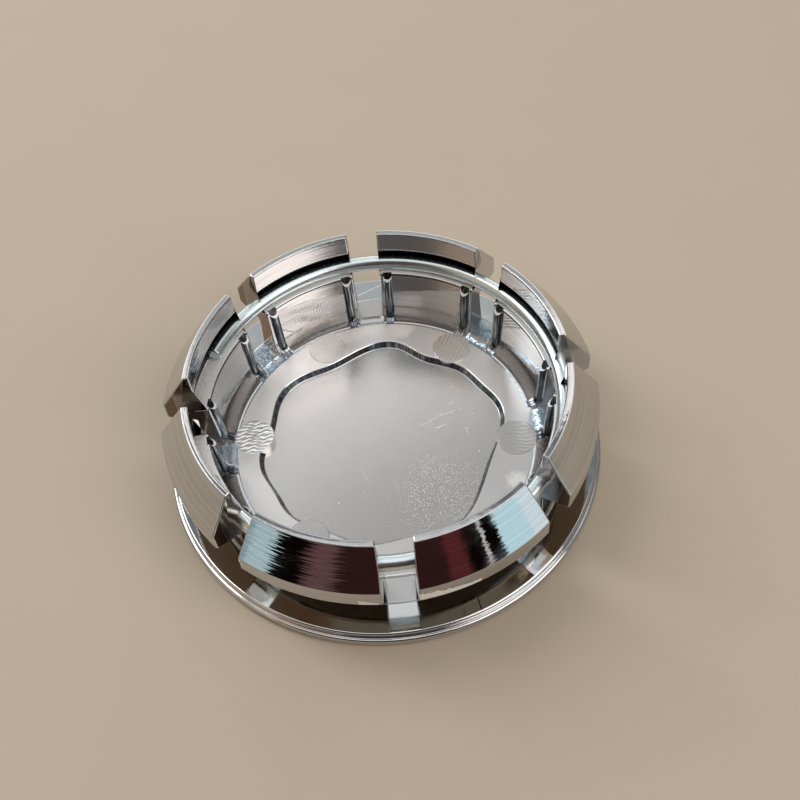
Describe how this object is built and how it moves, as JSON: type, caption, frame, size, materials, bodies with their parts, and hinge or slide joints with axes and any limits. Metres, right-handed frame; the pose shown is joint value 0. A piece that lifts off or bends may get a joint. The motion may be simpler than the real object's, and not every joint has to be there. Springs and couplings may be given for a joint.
{
  "type": "wheel centre cap",
  "caption": "Round snap-in wheel centre cap in bright plating: flat face disc, barbed claws around a hollow back, and a split wire ring in the claws' groove that spreads them.",
  "frame": {"origin": "centre of the front face, on the surface that the cap lies on", "axes": "+Z from the front face towards the claws; -Y towards the camera of the picture, through a gap between claws"},
  "size_m": [0.06, 0.06, 0.0174],
  "materials": {
    "bright_plating": "bright plating on moulded plastic, with fine scratches and scuffs",
    "spring_wire": "pale plated round wire, satin"
  },
  "bodies": {
    "root": {"cap_body": "bright_plating", "retaining_ring": "spring_wire"}
  },
  "joints": []
}
